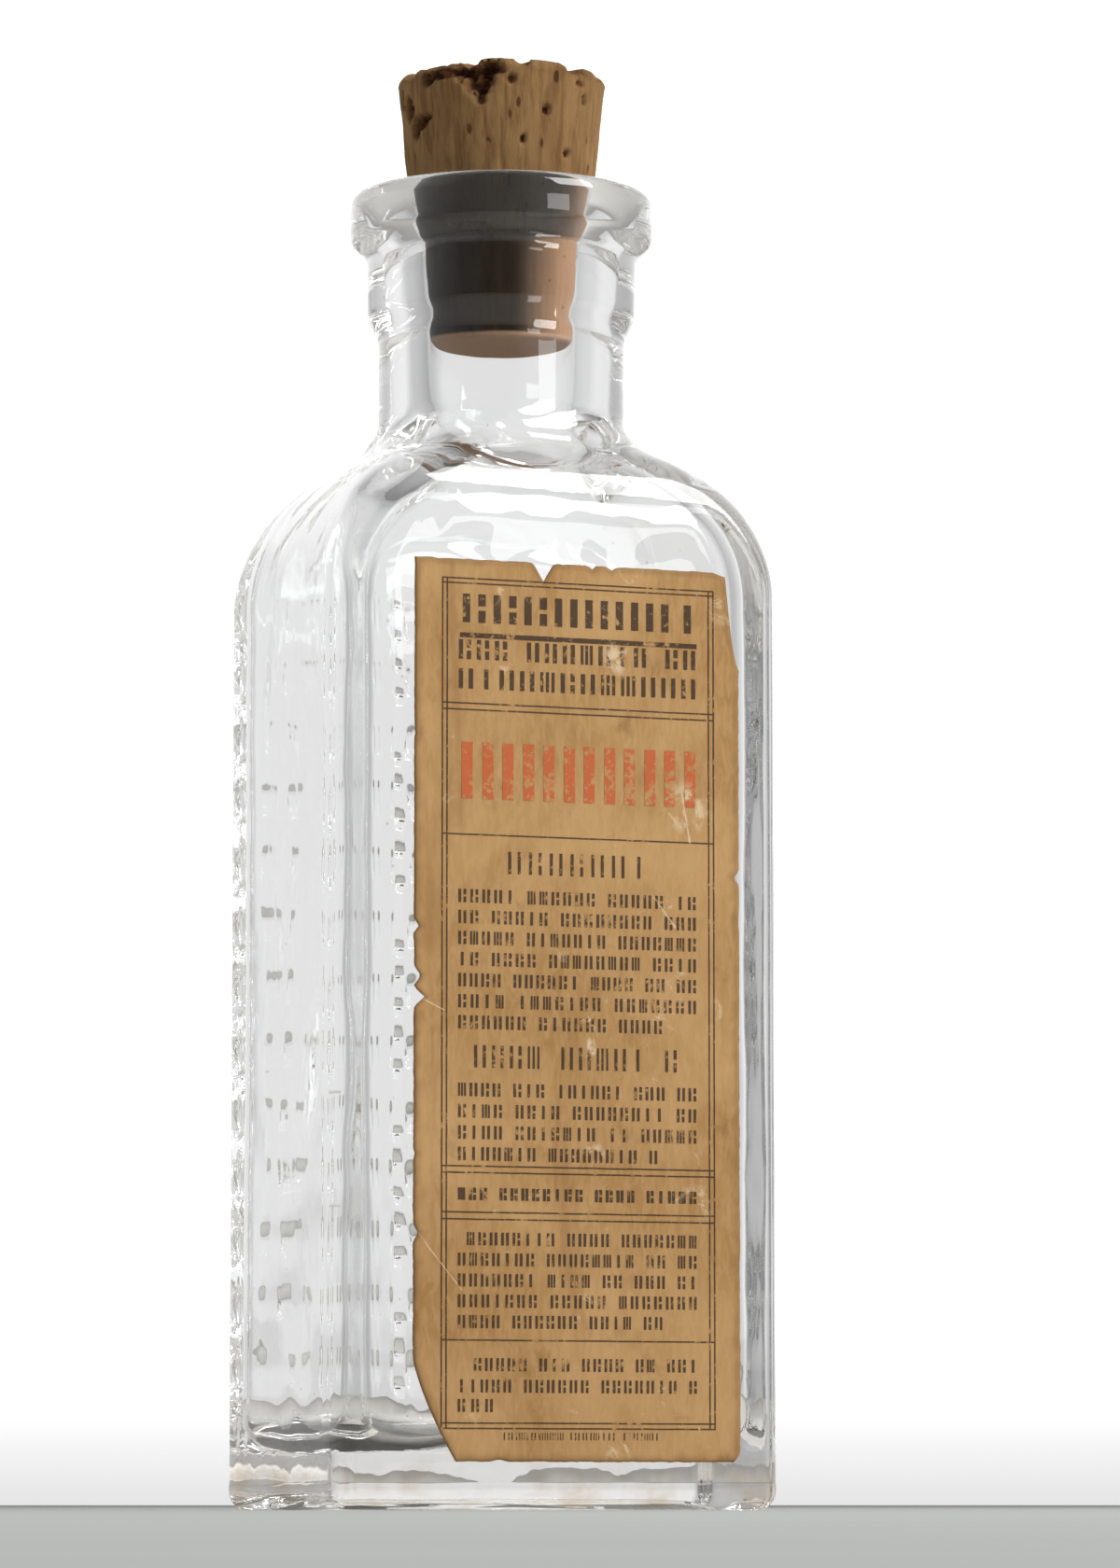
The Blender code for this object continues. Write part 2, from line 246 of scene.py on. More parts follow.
# the camera sees a white backdrop, glass lets softer greys through, and surfaces mirror darker walls
def makeWorld():
    world = bpy.data.worlds.new("studio")
    world.use_nodes = True
    bpy.context.scene.world = world
    tree = world.node_tree
    direction = node(tree, "TexCoord").outputs["Generated"]
    around = radians(view["azimuth"])
    axes = []
    for axis in ((cos(around), sin(around), 0.0), (sin(around), -cos(around), 0.0)):
        made = node(tree, "VectorMath", operation="DOT_PRODUCT")
        link(tree, direction, made.inputs[0])
        made.inputs[1].default_value = axis
        axes.append(made.outputs["Value"])
    turn = calc(tree, "ADD", calc(tree, "DIVIDE", calc(tree, "ARCTAN2", *axes), 2 * pi), 0.5)
    split = node(tree, "SeparateXYZ")
    link(tree, direction, split.inputs[0])
    path = node(tree, "LightPath")
    level = blend(tree, path.outputs["Is Reflection Ray"], levels(tree, turn, room["through"]),
                  levels(tree, turn, room["mirror"]))
    level = blend(tree, path.outputs["Is Camera Ray"], level, (room["seen"],) * 3)
    unseen = calc(tree, "SUBTRACT", 1.0, path.outputs["Is Camera Ray"])
    low = calc(tree, "MAXIMUM", remap(tree, split.outputs["Z"], *room["horizon"], room["low"], 1.0),
               calc(tree, "MULTIPLY", unseen, room["lowBehind"]))
    high = remap(tree, split.outputs["Z"], *room["ceiling"], room["back"], room["back"] * room["overhead"])
    height = calc(tree, "MULTIPLY", low, high)
    link(tree, level, tree.nodes["Background"].inputs["Color"])
    link(tree, height, tree.nodes["Background"].inputs["Strength"])


def makeLamp(name, place, target, size, power):
    data = bpy.data.lights.new(name, "AREA")
    data.shape = "RECTANGLE"
    data.size, data.size_y = size
    data.energy = power
    lamp = bpy.data.objects.new(name, data)
    bpy.context.scene.collection.objects.link(lamp)
    lamp.location = place
    lamp.rotation_euler = (Vector(target) - Vector(place)).to_track_quat("-Z", "Y").to_euler()


ground = {"size": 6.0, "grain": 60.0, "tones": ((0.445, 0.455, 0.445), (0.475, 0.485, 0.475)),
          "bounce": (0.62, 0.605, 0.575)}


# the camera sees a grey floor; what it bounces into the glass is lighter and warmer
def makeFloor():
    bm = bmesh.new()
    bmesh.ops.create_grid(bm, x_segments=1, y_segments=1, size=ground["size"])
    mesh = bpy.data.meshes.new("floor")
    bm.to_mesh(mesh)
    bm.free()
    material, tree, shader = newMaterial("pale_floor")
    seen = blend(tree, cloud(tree, placed(tree), ground["grain"]), *ground["tones"])
    path = node(tree, "LightPath")
    colour = blend(tree, path.outputs["Is Camera Ray"], ground["bounce"], seen)
    link(tree, colour, shader.inputs["Base Color"])
    shader.inputs["Roughness"].default_value = 1.0
    shader.inputs["Specular IOR Level"].default_value = 0.0
    mesh.materials.append(material)
    floor = bpy.data.objects.new("floor", mesh)
    bpy.context.scene.collection.objects.link(floor)


# name, place, what it points at, size and power
lamps = (("softbox", (0.49, -0.59, 0.64), (0.0, 0.0, 0.07), (0.5, 0.5), 8.5),
         ("window", (0.78, -1.84, 0.51), (0.0, 0.0, 0.12), (0.62, 0.20), 1.6))

makeCamera()
makeWorld()
makeFloor()
for lamp in lamps:
    makeLamp(*lamp)
bpy.context.scene.view_settings.view_transform = "Standard"
bpy.context.scene.cycles.max_bounces = room["bounces"]
bpy.context.scene.cycles.transmission_bounces = room["bounces"]
bpy.context.scene.cycles.glossy_bounces = room["bounces"]  # light caught inside the glass needs many
bpy.context.scene.cycles.transparent_max_bounces = room["bounces"]
print("camera, light and floor")


# the glass

glass = {
    "corner": 2.3, "wall": 2.2, "innerCorner": 4.0, "baseEdge": 1.8, "pushUp": 11.0, "pushUpDepth": 1.8,
    "floorHeight": 5.6, "floorEdge": 3.4, "sideLean": 87.0, "faceLean": 95.0, "top": 104.8,
    "sideArc": 16.0, "sideSlope": 60.0, "faceArc": 8.0, "faceSlope": 42.0,
    "innerSideLean": 87.0, "innerFaceLean": 93.5, "innerTop": 106.5,
    "innerSideArc": 13.0, "innerSideSlope": 63.0, "innerFaceArc": 7.0, "innerFaceSlope": 50.0,
    "neck": 12.0, "bore": 7.05, "innerWave": 0.22, "floorWave": 0.40, "boreWave": 0.05, "outerWave": 0.035,
    "tint": (0.985, 0.992, 0.989), "speck": (0.55, 0.52, 0.46), "residue": (0.60, 0.42, 0.24),
    "shadow": (0.93, 0.94, 0.94), "ior": 1.51, "lastBounce": 12.5,
}
marks = {
    "columns": (3.7, 7.7, 14.1, 16.9), "rows": 14, "first": 7.6, "pitch": 6.16, "rise": 0.36,
    "halfWidth": 0.78, "halfLength": 1.88,
    "barColumn": 5.7, "barHalf": 0.9, "barOffset": 1.57, "barWide": 0.3,
}
bodyHalf = (glassHigh.x / mm, -glassLow.y / mm)


# the columns of points over half of the back face, as fractions of its half width
def backColumns():
    reach = bodyHalf[0] - glass["corner"]
    columns = {0.0, 1.3, 10.9}
    for middle in marks["columns"]:
        columns |= {middle + side * step for side in (-1, 1) for step in (0.78, 0.6, 0.34)} | {middle}
    columns |= {marks["barColumn"] + step for step in (-0.9, -0.7, 0.0, 0.7, 0.9)}
    return [column / reach for column in sorted(columns, reverse=True)]


sideSpots = [i / 10 for i in range(10)]
cornerSpots = [i / 10 for i in range(10)]
frontSpots = [1.0 - i / 16 for i in range(17)]
backSpots = [1.0] + backColumns()


# azimuths of one quarter's points, from the middle of a narrow side to the middle of a broad face
def quarterTurns(halfX, halfY, radius, faceSpots, evenness):
    points = [(halfX, (halfY - radius) * spot) for spot in sideSpots]
    for spot in cornerSpots:
        turn = 0.5 * pi * spot
        points.append((halfX - radius + radius * cos(turn), halfY - radius + radius * sin(turn)))
    points += [((halfX - radius) * spot, halfY) for spot in faceSpots]
    last = len(points) - 1
    return [atan2(y, x) * (1 - evenness) + 0.5 * pi * i / last * evenness for i, (x, y) in enumerate(points)]


# how far out a rounded rectangle lies at one azimuth
def reachOf(halfX, halfY, radius, azimuth):
    across, along = abs(cos(azimuth)), abs(sin(azimuth))
    if along * halfX <= (halfY - radius) * across:
        return halfX / across
    if across * halfY <= (halfX - radius) * along:
        return halfY / along
    middle = across * (halfX - radius) + along * (halfY - radius)
    centre = (halfX - radius) ** 2 + (halfY - radius) ** 2
    return middle + sqrt(max(middle * middle - centre + radius * radius, 0.0))


# a rounded rectangle at one height; the back half carries the close columns of the marks
def station(height, halfX, halfY, radius, evenness=0.0):
    back = quarterTurns(halfX, halfY, radius, backSpots, evenness)
    front = quarterTurns(halfX, halfY, radius, frontSpots, evenness)
    turns = back[:-1] + [pi - turn for turn in back[:0:-1]]
    turns += [pi + turn for turn in front[:-1]] + [2 * pi - turn for turn in front[:0:-1]]
    outline = []
    for turn in turns:
        reach = reachOf(halfX, halfY, radius, turn) * mm
        outline.append((reach * cos(turn), reach * sin(turn)))
    return height * mm, outline


def turned(radius, height):
    return station(height, radius, radius, radius, 1.0)


# half width at one height of a shoulder: an arc, a straight slope, then a fillet into the neck
def leanIn(height, lowHalf, highHalf, low, high, arc, slope):
    rise, run = sin(radians(slope)), cos(radians(slope))
    fillet = ((high - low) * rise - run * (lowHalf - highHalf)) / (1 - run) - arc
    if height <= low:
        return lowHalf
    if height <= low + arc * rise:
        return lowHalf - arc + sqrt(arc * arc - (height - low) ** 2)
    if height < high - fillet * rise:
        return lowHalf - arc * (1 - run) - (height - low - arc * rise) * rise / run
    if height < high:
        return highHalf + fillet - sqrt(fillet * fillet - (high - height) ** 2)
    return highHalf


def shoulder(heights, halfX, halfY, corner, neck, sides, faces, top):
    made = []
    for height in heights:
        x = leanIn(height, halfX, neck, sides[0], top, sides[1], sides[2])
        y = leanIn(height, halfY, neck, faces[0], top, faces[1], faces[2])
        partWay = min(max((height - sides[0]) / (top - sides[0]), 0.0), 1.0)
        radius = min(corner + (neck - corner) * partWay ** 2, x, y)
        made.append(station(height, x, y, radius, partWay ** 2))
    return made


def spread(low, high, count):
    return [low + (high - low) * i / count for i in range(count + 1)]


def outsideStations():
    g = glass
    made = [turned(radius, g["pushUpDepth"] * sqrt(1 - (radius / g["pushUp"]) ** 2))
            for radius in (0.4, 3.0, 6.0, 8.0, 9.4, 10.3, 10.8)]
    made += [turned(g["pushUp"] + 0.25, 0.12), turned(g["pushUp"] + 0.9, 0.0)]
    for i in range(7):
        turn = 0.5 * pi * i / 6
        inset = g["baseEdge"] * (1 - sin(turn))
        made.append(station(g["baseEdge"] * (1 - cos(turn)), bodyHalf[0] - inset, bodyHalf[1] - inset,
                            g["corner"] - inset))
    heights = {2.6, 3.8, 5.0, 89.9}
    for row in range(marks["rows"]):
        middle = marks["first"] + marks["pitch"] * row
        heights |= {middle + side * step for side in (-1, 1) for step in (1.88, 1.72, 1.42, 1.24, 0.6)}
        heights |= {middle, middle + 0.5 * marks["pitch"]}
    rise = [height for height in sorted(heights) if height < 90.4] + spread(90.5, g["top"], 36)
    made += shoulder(rise, bodyHalf[0], bodyHalf[1], g["corner"], g["neck"],
                     (g["sideLean"], g["sideArc"], g["sideSlope"]),
                     (g["faceLean"], g["faceArc"], g["faceSlope"]), g["top"])
    return made


# the neck, collar and lip, over the mouth and down the bore to below the cork
def neckStations():
    top = glassHigh.z / mm
    corners = [(12.0, 106.0, 0), (12.0, 109.5, 0), (12.0, 113.3, 0.7), (13.05, 115.3, 0.8),
               (13.15, 121.4, 0.7), (14.8, 122.9, 0.6), (14.8, top, 1.5), (9.75, top, 0.45),
               (9.2, 127.1, 0.4), (7.65, 123.0, 1.8), (7.15, 112.0, 0), (7.05, 108.0, 0)]
    return [turned(radius, height) for radius, height in rounded(corners)]


def insideStations():
    g = glass
    wallX, wallY = bodyHalf[0] - g["wall"], bodyHalf[1] - g["wall"]
    made = shoulder(spread(g["innerTop"], g["innerSideLean"], 34), wallX, wallY, g["innerCorner"], g["bore"],
                    (g["innerSideLean"], g["innerSideArc"], g["innerSideSlope"]),
                    (g["innerFaceLean"], g["innerFaceArc"], g["innerFaceSlope"]), g["innerTop"])
    made += [station(height, wallX, wallY, g["innerCorner"]) for height in spread(85.0, 11.0, 36)]
    for i in range(9):
        turn = 0.5 * pi * i / 8
        inset = g["floorEdge"] * (1 - cos(turn))
        made.append(station(g["floorHeight"] + g["floorEdge"] * (1 - sin(turn)), wallX - inset, wallY - inset,
                            g["innerCorner"] + 0.4 * inset, 0.3 * i / 8))
    floorX, floorY = wallX - g["floorEdge"], wallY - g["floorEdge"]
    for i in range(1, 7):  # the floor rises 0.5 mm towards its middle
        shrink = 1 - i / 6.2
        made.append(station(g["floorHeight"] + 0.5 * (1 - shrink), floorX * shrink, floorY * shrink,
                            (g["innerCorner"] + 1.8) * shrink, 0.3 + 0.1 * i))
    return made


# height of the raised marks over one point of the back face, in mm
def markRise(x, z):
    row = round((z - marks["first"]) / marks["pitch"])
    if row < 0 or row >= marks["rows"]:
        return 0.0
    z -= marks["first"] + marks["pitch"] * row
    x = abs(x)
    for column in marks["columns"]:
        u, v = abs(x - column) / marks["halfWidth"], abs(z) / marks["halfLength"]
        off = (u ** 2.6 + v ** 3.2) ** 0.36
        if off < 1:
            return marks["rise"] * ramp(1 - off, 0.0, 0.75)
    bar = (row * 2 + (z > 0)) % 6
    v = abs(abs(z) - marks["barOffset"])
    u = abs(x - marks["barColumn"])
    if bar != 5 and row > 0 and v < marks["barWide"] and u < marks["barHalf"]:
        return marks["rise"] * ramp(marks["barWide"] - v, 0.0, 0.12) * ramp(marks["barHalf"] - u, 0.0, 0.2)
    return 0.0


# raises the marks and gives the blown inside its uneven wall
def waveGlass(bm, insideStart):
    bm.normal_update()
    bm.verts.ensure_lookup_table()
    back = bodyHalf[1] * mm - 1e-6
    moves = []
    for vert in bm.verts:
        x, y, z = vert.co
        if vert.index >= insideStart:
            low = ramp(z, 108 * mm, 96 * mm)
            swell = wave((x, y, z * 0.6), 11 * mm, 1) + 0.5 * wave((x, y, z), 5 * mm, 2)
            push = glass["innerWave"] * low * swell
            push += glass["floorWave"] * low * ramp(z, 12 * mm, 5 * mm) * wave((x, y, z), 7 * mm, 3)
            push += glass["boreWave"] * (1 - low) * wave((x, y, z), 4 * mm, 4)
        else:
            onBody = ramp(z, 1.5 * mm, 4 * mm)
            push = glass["outerWave"] * onBody * (wave((x, y, z * 0.5), 10 * mm, 5) - 0.6)
            if y > back and 3 * mm < z < 92 * mm:
                push += markRise(x / mm, z / mm)
        moves.append(vert.normal * push * mm)
    for vert, move in zip(bm.verts, moves):
        vert.co += move


# fine specks and a faint film of hand marks
def dustGroup():
    group = bpy.data.node_groups.new("dust and specks", "ShaderNodeTree")
    socket(group, "Vector", "NodeSocketVector", "INPUT")
    socket(group, "Scale", "NodeSocketFloat", "INPUT", 900.0)
    socket(group, "Amount", "NodeSocketFloat", "INPUT", 0.5)
    socket(group, "Specks", "NodeSocketFloat", "OUTPUT")
    socket(group, "Film", "NodeSocketFloat", "OUTPUT")
    start, end = group.nodes.new("NodeGroupInput"), group.nodes.new("NodeGroupOutput")
    cells = node(group, "TexVoronoi", feature="F1")
    link(group, start.outputs["Vector"], cells.inputs["Vector"])
    link(group, start.outputs["Scale"], cells.inputs["Scale"])
    near = remap(group, cells.outputs["Distance"], 0.16, 0.05)
    pick = node(group, "SeparateColor")
    link(group, cells.outputs["Color"], pick.inputs[0])
    chosen = calc(group, "LESS_THAN", pick.outputs[0], calc(group, "MULTIPLY", start.outputs["Amount"], 0.25))
    link(group, calc(group, "MULTIPLY", near, chosen), end.inputs["Specks"])
    film = cloud(group, start.outputs["Vector"], 70.0, 5.0, 0.65, 0.4)
    faint = calc(group, "MULTIPLY", remap(group, film, 0.45, 0.75), start.outputs["Amount"])
    link(group, faint, end.inputs["Film"])
    return group


dust = dustGroup()


def addDust(tree, vector, scale, amount):
    made = tree.nodes.new("ShaderNodeGroup")
    made.node_tree = dust
    link(tree, vector, made.inputs["Vector"])
    made.inputs["Scale"].default_value = scale
    made.inputs["Amount"].default_value = amount
    return made


def clearGlass():
    material, tree, shader = newMaterial("clear_glass")
    shader.inputs["Transmission Weight"].default_value = 1.0
    shader.inputs["IOR"].default_value = glass["ior"]
    specks = addDust(tree, placed(tree), 700.0, 0.25)
    colour = blend(tree, specks.outputs["Specks"], glass["tint"], glass["speck"])
    split = node(tree, "SeparateXYZ")
    link(tree, placed(tree), split.inputs[0])
    low = remap(tree, split.outputs["Z"], 7 * mm, 1 * mm)
    patches = remap(tree, cloud(tree, placed(tree), 130.0, 4.0), 0.46, 0.66, 0.12, 1.0)
    residue = calc(tree, "MULTIPLY", low, patches)  # brown stain low in the base
    colour = blend(tree, calc(tree, "MULTIPLY", residue, 0.8), colour, glass["residue"])
    link(tree, colour, shader.inputs["Base Color"])
    link(tree, remap(tree, specks.outputs["Film"], 0.0, 0.3, 0.0, 0.03), shader.inputs["Roughness"])
    ripple = node(tree, "Bump")
    ripple.inputs["Strength"].default_value = 0.12
    ripple.inputs["Distance"].default_value = 0.2 * mm
    link(tree, cloud(tree, placed(tree, (1, 1, 0.5)), 240.0, 2.0), ripple.inputs["Height"])
    link(tree, ripple.outputs[0], shader.inputs["Normal"])
    path = node(tree, "LightPath")
    clear = node(tree, "BsdfTransparent")
    clear.inputs["Color"].default_value = (*glass["shadow"], 1.0)
    mix = node(tree, "MixShader")
    lost = calc(tree, "GREATER_THAN", path.outputs["Ray Depth"], glass["lastBounce"])  # lets trapped rays out
    link(tree, calc(tree, "MAXIMUM", path.outputs["Is Shadow Ray"], lost), mix.inputs[0])
    link(tree, shader.outputs[0], mix.inputs[1])
    link(tree, clear.outputs[0], mix.inputs[2])
    link(tree, mix.outputs[0], tree.nodes["Material Output"].inputs["Surface"])
    return material


def makeGlass():
    outside = outsideStations() + neckStations()
    inside = insideStations()
    bm = loft(outside + inside)
    waveGlass(bm, len(outside) * len(outside[0][1]))
    bmesh.ops.recalc_face_normals(bm, faces=bm.faces)
    piece = finish("glass_body", bm, clearGlass(), "bottle", "bottle_glass")


makeGlass()


# the cork

# inside the neck the cork is coloured from painted shade, nearly black, to painted light, lit brown, and its
# bottom face takes a lighter painted light
cork = {
    "foot": 0.3, "wear": 1.2, "waist": 123.0, "mouth": 127.7, "around": 240, "grain": 0.05, "dents": 0.10,
    "tones": ((0.20, 0.110, 0.045), (0.32, 0.190, 0.082)), "streak": (0.115, 0.052, 0.020),
    "pore": (0.040, 0.018, 0.009), "paintedShadeToLight": ((0.006, 0.003, 0.001), (0.27, 0.145, 0.075)),
    "paintedFootLight": (0.40, 0.25, 0.16), "torn": ((0.030, 0.012, 0.006), (0.150, 0.060, 0.026)),
}
# height and radius
corkSizes = ((corkLow.z / mm, 6.85), (cork["waist"], 7.35), (cork["mouth"], 9.05), (corkHigh.z / mm, 10.15))
# azimuth, height, half width, half height and depth of each pit
corkPits = [(193, 134.0, 1.25, 0.7, 1.0), (183, 135.6, 0.75, 1.1, 0.9), (174, 136.9, 0.45, 1.0, 0.8),
            (199, 134.3, 0.8, 0.3, 0.5), (189, 133.2, 0.6, 0.7, 0.8), (236, 137.5, 1.5, 1.5, 1.2),
            (228, 138.3, 1.3, 0.9, 0.9), (243, 138.4, 1.2, 0.8, 0.8), (214, 138.3, 2.2, 0.6, 0.5),
            (203, 138.0, 1.0, 0.7, 0.5), (237, 135.8, 0.45, 0.9, 0.6), (299, 137.6, 0.7, 0.3, 0.35),
            (276, 134.6, 0.42, 0.5, 0.6), (292, 130.7, 0.34, 0.42, 0.5), (254, 137.4, 0.4, 0.45, 0.6),
            (262, 131.6, 0.25, 0.5, 0.4), (304, 136.2, 0.35, 0.5, 0.5), (20, 133.0, 0.7, 0.5, 0.6),
            (60, 129.9, 0.4, 0.8, 0.6), (95, 136.0, 0.9, 0.6, 0.8), (128, 132.5, 0.5, 0.9, 0.7),
            (340, 131.0, 0.5, 0.5, 0.5)]
# azimuth, half width, how far in, how far down and seed of each chip in the rim
corkBites = [(210, 26, 0.5, 0.25, 4.0), (231, 6.0, 0.8, 0.7, 7.0), (183, 8, 0.8, 0.9, 9.0),
             (297, 12, 0.6, 0.9, 3.0), (262, 6, 0.4, 0.5, 5.0), (322, 9, 0.5, 0.6, 6.0),
             (62, 16, 0.9, 0.9, 2.0), (120, 10, 0.6, 0.7, 8.0)]


def corkRadius(height):
    for (low, lowRadius), (high, highRadius) in zip(corkSizes, corkSizes[1:]):
        if height <= high:
            return lowRadius + (highRadius - lowRadius) * (height - low) / (high - low)
    return corkSizes[-1][1]


def wheel(radius, height, count):
    turns = [2 * pi * i / count for i in range(count)]
    return height * mm, [(radius * mm * cos(turn), radius * mm * sin(turn)) for turn in turns]


def corkStations():
    low, high, count = corkSizes[0][0], corkSizes[-1][0], cork["around"]
    foot, wear = cork["foot"], cork["wear"]
    made = [wheel(radius, low, count) for radius in (0.3, 1.5, 3.0, 4.4, 5.6, 6.1, corkSizes[0][1] - foot)]
    made += [wheel(corkRadius(height), height, count) for height in spread(low + foot, high - wear, 104)]
    for i in range(1, 9):
        turn = 0.5 * pi * i / 8
        made.append(wheel(corkSizes[-1][1] - wear * (1 - cos(turn)), high - wear * (1 - sin(turn)), count))
    topRadii = (8.6, 8.1, 7.5, 6.9, 6.2, 5.4, 4.6, 3.7, 2.8, 1.8, 0.9, 0.3)
    made += [wheel(radius, high, count) for radius in topRadii]
    return made


# grain, pits and a crumbled rim; gives back how deep each point lies in a pit, from 0 to 1
def carveCork(bm):
    bm.normal_update()
    bm.verts.ensure_lookup_table()
    depths, moves = [], []
    for vert in bm.verts:
        x, y, z = vert.co / mm
        radius = sqrt(x * x + y * y)
        azimuth = (atan2(y, x) * 180 / pi) % 360
        grain = wave((x * 2.2, y * 2.2, z * 0.22), 1.0, 11) + 0.7 * wave((x * 5, y * 5, z * 0.5), 1.0, 12)
        push = cork["grain"] * grain + cork["dents"] * wave((x, y, z), 2.6, 13)
        move = vert.normal * push
        dark = 0.0
        side = ramp(radius, 5.0, 7.0)
        for middle, height, halfWidth, halfHeight, depth in corkPits:
            turn = (azimuth - middle + 180) % 360 - 180
            u, v = radians(turn) * radius / halfWidth, (z - height) / halfHeight
            ragged = 1 + 0.35 * wave((x, y, z), 0.5, 14)
            off = sqrt(u * u + v * v) * ragged
            if off < 1.25:
                hole = ramp(1.25 - off, 0.0, 0.55) * side
                move -= Vector((x, y, 0)).normalized() * depth * hole
                dark = max(dark, hole)
        rim = ramp(z, 135.2, 139.3) * ramp(radius, 6.0, 9.2)
        for middle, halfWidth, inward, drop, seed in corkBites:
            turn = abs((azimuth - middle + 180) % 360 - 180)
            bite = ramp(halfWidth - turn + 3.0 * wave((x, y, z), 1.4, seed), 0.0, 0.45 * halfWidth)
            bite *= 0.75 + 0.4 * wave((x, y, z), 0.8, seed + 1) + 0.2 * wave((x, y, z), 0.35, seed + 2)
            deep = ramp(z, 139.5 - 1.4 * drop - 0.6, 139.4) * ramp(radius, 8.6 - drop, 9.6)
            move -= Vector((x, y, 0)).normalized() * inward * bite * deep
            move.z -= drop * bite * rim * ramp(z, 138.2, 139.4)
            dark = max(dark, 0.75 * bite * deep)
        depths.append(dark)
        moves.append(move * mm * ramp(z, corkSizes[0][0], corkSizes[0][0] + 1.5))
    for vert, move in zip(bm.verts, moves):
        vert.co += move
    return depths


def corkMaterial():
    material, tree, shader = newMaterial("cork")
    place = placed(tree)
    grain = cloud(tree, placed(tree, (1.0, 1.0, 0.10)), 1000.0, 5.0, 0.62, 0.3)
    broad = cloud(tree, placed(tree, (1.0, 1.0, 0.35)), 130.0, 3.0, 0.5, 0.8)
    colour = blend(tree, remap(tree, broad, 0.32, 0.68), *cork["tones"])
    colour = blend(tree, remap(tree, grain, 0.36, 0.56, 0.45, 1.0), cork["streak"], colour)
    pores = node(tree, "TexVoronoi", feature="F1")
    link(tree, placed(tree, (1.0, 1.0, 0.45)), pores.inputs["Vector"])
    pores.inputs["Scale"].default_value = 620.0
    small = remap(tree, pores.outputs["Distance"], 0.22, 0.12)
    patch = remap(tree, cloud(tree, place, 260.0, 2.0), 0.50, 0.62)
    small = calc(tree, "MULTIPLY", small, patch)
    colour = blend(tree, calc(tree, "MULTIPLY", small, 0.8), colour, cork["pore"])
    split = node(tree, "SeparateXYZ")
    link(tree, place, split.inputs[0])
    # inside the neck, below the mouth, the cork's own colour gives way to painted shade and painted light:
    # nearly black on the left and towards the mouth, lit brown on the right
    paintedNeckShade = remap(tree, calc(tree, "ADD", split.outputs["Z"], calc(tree, "MULTIPLY", broad, 1.6 * mm)),
                   128.9 * mm, 127.7 * mm)
    across = calc(tree, "ADD", split.outputs["X"], calc(tree, "MULTIPLY", broad, 5 * mm))
    across = calc(tree, "SUBTRACT", across, remap(tree, split.outputs["Z"], 122 * mm, 125 * mm, 0.0, 3 * mm))
    paintedShadeToLight = blend(tree, remap(tree, across, 0.8 * mm, 6.5 * mm), *cork["paintedShadeToLight"])  # painted shade, darkest on the left, running to painted light, lit brown, on the right
    # painted light on the cork's bottom face, lighter and pinker as if lit from below
    foot = remap(tree, split.outputs["Z"], 113.1 * mm, 112.7 * mm)
    paintedShadeToLight = blend(tree, foot, paintedShadeToLight, cork["paintedFootLight"])
    colour = blend(tree, calc(tree, "MULTIPLY", paintedNeckShade, 0.95), colour, paintedShadeToLight)
    # pits and chips in the rim are coloured darker the deeper they go
    pit = node(tree, "Attribute", attribute_name="pit")
    rough = cloud(tree, place, 900.0, 4.0)
    torn = blend(tree, remap(tree, rough, 0.40, 0.62), *cork["torn"])
    colour = blend(tree, pit.outputs["Fac"], colour, torn)
    link(tree, colour, shader.inputs["Base Color"])
    shader.inputs["Roughness"].default_value = 0.86
    shader.inputs["Specular IOR Level"].default_value = 0.06
    bump = node(tree, "Bump")
    bump.inputs["Strength"].default_value = 0.5
    bump.inputs["Distance"].default_value = 0.25 * mm
    height = calc(tree, "SUBTRACT", calc(tree, "ADD", grain, calc(tree, "MULTIPLY", rough, 0.35)), small)
    link(tree, height, bump.inputs["Height"])
    link(tree, bump.outputs[0], shader.inputs["Normal"])
    return material


def makeCork():
    bm = loft(corkStations())
    depths = carveCork(bm)
    piece = finish("cork_stopper_worn", bm, corkMaterial(), "cork", "cork_stopper")
    pit = piece.data.attributes.new("pit", "FLOAT", "POINT")
    pit.data.foreach_set("value", depths)


makeCork()


# the paper label

paper = {
    "cell": 0.35, "thickness": 0.15, "ragged": 0.06, "ripple": 0.02, "curl": 0.25,
    "tones": ((0.37, 0.200, 0.068), (0.50, 0.295, 0.122)), "blotch": (0.25, 0.122, 0.036),
    "fibre": (0.56, 0.355, 0.165), "streak": (0.27, 0.135, 0.042), "rubbed": (0.74, 0.58, 0.39),
    "edge": (0.20, 0.10, 0.035),
}
paperLeft, paperRight = labelLow.x / mm, labelHigh.x / mm
paperBottom, paperTop = labelLow.z / mm, labelHigh.z / mm
# middle, half width, depth and sharpness of each tear
nicks = {
    "left": [(54.4, 0.8, 0.6, 1.0), (49.7, 1.0, 0.75, 0.8), (47.7, 1.1, 1.2, 1.2), (25.6, 0.9, 0.6, 1.0),
             (3.0, 11.6, 5.2, 1.4), (72.6, 0.6, 0.2, 1.0), (33.0, 0.7, 0.25, 1.0)],
    "right": [(90.0, 9.6, 1.5, 0.55), (60.2, 0.7, 0.6, 0.8), (3.4, 2.0, 1.8, 1.2), (38.5, 0.6, 0.2, 1.0)],
    "top": [(-1.5, 1.2, 1.9, 1.0), (3.7, 0.45, 0.5, 0.7), (5.8, 0.6, 0.45, 0.7), (18.0, 1.6, 0.5, 1.0)],
    "bottom": [(-10.0, 1.5, 0.3, 1.0), (6.0, 0.8, 0.15, 1.0)],
}


# how far the torn edge stands in from the straight one, in mm
def tornIn(side, place):
    seed = len(side)
    rough = 1.4 + wave((place, 0, 0), 1.3, seed) + 0.9 * wave((place, 0, 0), 0.35, seed + 9)
    depth = paper["ragged"] * rough
    for middle, half, deep, power in nicks[side]:
        if abs(place - middle) < half:
            depth = max(depth, deep * (1 - abs(place - middle) / half) ** power)
    return depth


